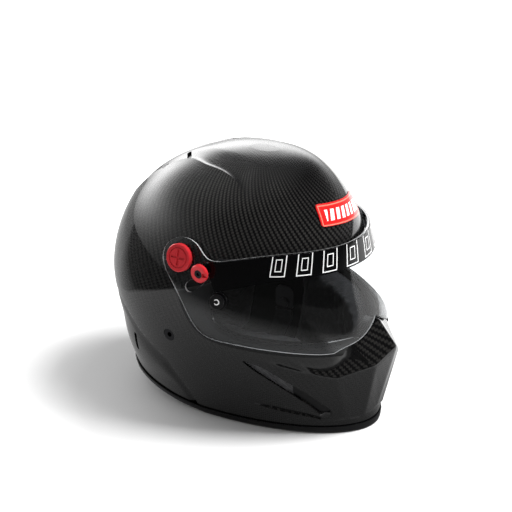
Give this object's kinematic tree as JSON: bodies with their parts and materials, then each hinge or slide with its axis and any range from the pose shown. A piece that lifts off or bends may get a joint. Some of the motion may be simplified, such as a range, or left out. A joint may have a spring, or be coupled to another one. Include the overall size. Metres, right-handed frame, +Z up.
{
  "type": "auto racing helmet",
  "caption": "Full-face racing helmet: carbon shell with faceted chin, hinged clear shield with red knobs, rubber rim trim, padded liners and head-restraint inserts",
  "frame": {"origin": "middle of the bounding box in plan, on the ground under the rim trim", "axes": "helmet faces -Y, +Z is up, the wearer's right side is -X"},
  "size_m": [0.253, 0.3341, 0.282],
  "materials": {
    "carbon": "glossy clear coat over woven carbon",
    "rubber": "satin",
    "badge": "gloss",
    "foam": "matte moulded foam",
    "lining": "woven",
    "lining_foam": "matte",
    "steel": "brushed",
    "black_metal": "satin black",
    "black_plastic": "satin",
    "red_metal": "anodised red",
    "shield": "clear polished",
    "strip": "printed film",
    "webbing": "woven webbing"
  },
  "bodies": {
    "helmet": {"outer_shell": "carbon", "base_trim": "rubber", "eyeport_gasket": "rubber", "forehead_badge": "badge", "eps_liner": "foam", "comfort_liner": "lining", "chin_liner": "lining_foam", "neck_pad": "lining", "cheek_pad_right": "lining", "cheek_pad_left": "lining", "pivot_hub_right": "steel", "pivot_hub_left": "steel", "latch_stud_right": "steel", "latch_stud_left": "steel", "fhr_insert_right": "black_metal", "fhr_insert_left": "black_metal", "crown_screen_right": "black_plastic", "crown_screen_left": "black_plastic", "chin_screen_right": "black_plastic", "chin_screen_left": "black_plastic", "rear_screen_right": "black_plastic", "rear_screen_left": "black_plastic", "cheek_snaps_right": "black_plastic", "cheek_snaps_left": "black_plastic", "strap_rivet_right": "steel", "strap_rivet_left": "steel"},
    "visor": {"visor_shield": "shield", "visor_strip": "strip", "tearoff_nut_right": "black_plastic", "tearoff_nut_left": "black_plastic"},
    "strap_right": {"strap_tab_right": "steel", "chin_strap_right": "webbing", "strap_snap": "black_plastic"},
    "strap_left": {"strap_tab_left": "steel", "chin_strap_left": "webbing", "strap_loop": "webbing"},
    "ring_upper": {"ring_upper": "steel"},
    "ring_lower": {"ring_lower": "steel"},
    "pivot_knob_right": {"pivot_knob_right": "red_metal"},
    "latch_knob_right": {"latch_knob_right": "red_metal", "latch_screw_right": "black_metal"},
    "tearoff_post_right": {"tearoff_post_right": "black_plastic"},
    "pivot_knob_left": {"pivot_knob_left": "red_metal"},
    "latch_knob_left": {"latch_knob_left": "red_metal", "latch_screw_left": "black_metal"},
    "tearoff_post_left": {"tearoff_post_left": "black_plastic"}
  },
  "joints": [
    {"name": "visor_hinge", "type": "hinge", "parent": "helmet", "child": "visor", "pos_m": [0, 0.022, 0.1935], "axis": [-1, 0, 0], "range_deg": [0, 45]},
    {"name": "pivot_knob_right_turn", "type": "hinge", "parent": "visor", "child": "pivot_knob_right", "pos_m": [-0.11434, 0.022, 0.1935], "axis": [-0.9696, -0.0073, 0.2445], "range_deg": [0, 90]},
    {"name": "latch_knob_right_turn", "type": "hinge", "parent": "helmet", "child": "latch_knob_right", "pos_m": [-0.12197, -0.00774, 0.1863], "axis": [-1, 0, 0], "range_deg": [0, 90]},
    {"name": "tearoff_post_right_turn", "type": "hinge", "parent": "visor", "child": "tearoff_post_right", "pos_m": [-0.11575, -0.026, 0.158], "axis": [-0.9527, -0.2529, 0.1687], "range_deg": [0, 180]},
    {"name": "strap_right_swing", "type": "hinge", "parent": "helmet", "child": "strap_right", "pos_m": [-0.0939, 0.027, 0.062], "axis": [-1, 0, 0], "range_deg": [-15, 15]},
    {"name": "pivot_knob_left_turn", "type": "hinge", "parent": "visor", "child": "pivot_knob_left", "pos_m": [0.11434, 0.022, 0.1935], "axis": [0.9696, -0.0073, 0.2445], "range_deg": [0, 90]},
    {"name": "latch_knob_left_turn", "type": "hinge", "parent": "helmet", "child": "latch_knob_left", "pos_m": [0.12197, -0.00774, 0.1863], "axis": [1, 0, 0], "range_deg": [0, 90]},
    {"name": "tearoff_post_left_turn", "type": "hinge", "parent": "visor", "child": "tearoff_post_left", "pos_m": [0.11575, -0.026, 0.158], "axis": [0.9527, -0.2529, 0.1687], "range_deg": [0, 180]},
    {"name": "strap_left_swing", "type": "hinge", "parent": "helmet", "child": "strap_left", "pos_m": [0.0939, 0.027, 0.062], "axis": [1, 0, 0], "range_deg": [-15, 15]},
    {"name": "ring_upper_swing", "type": "hinge", "parent": "strap_left", "child": "ring_upper", "pos_m": [0.06286, 0.027, 0.01977], "axis": [0, 1, 0], "range_deg": [0, 60]},
    {"name": "ring_lower_swing", "type": "hinge", "parent": "strap_left", "child": "ring_lower", "pos_m": [0.06521, 0.027, 0.01732], "axis": [0, -1, 0], "range_deg": [0, 40]}
  ]
}
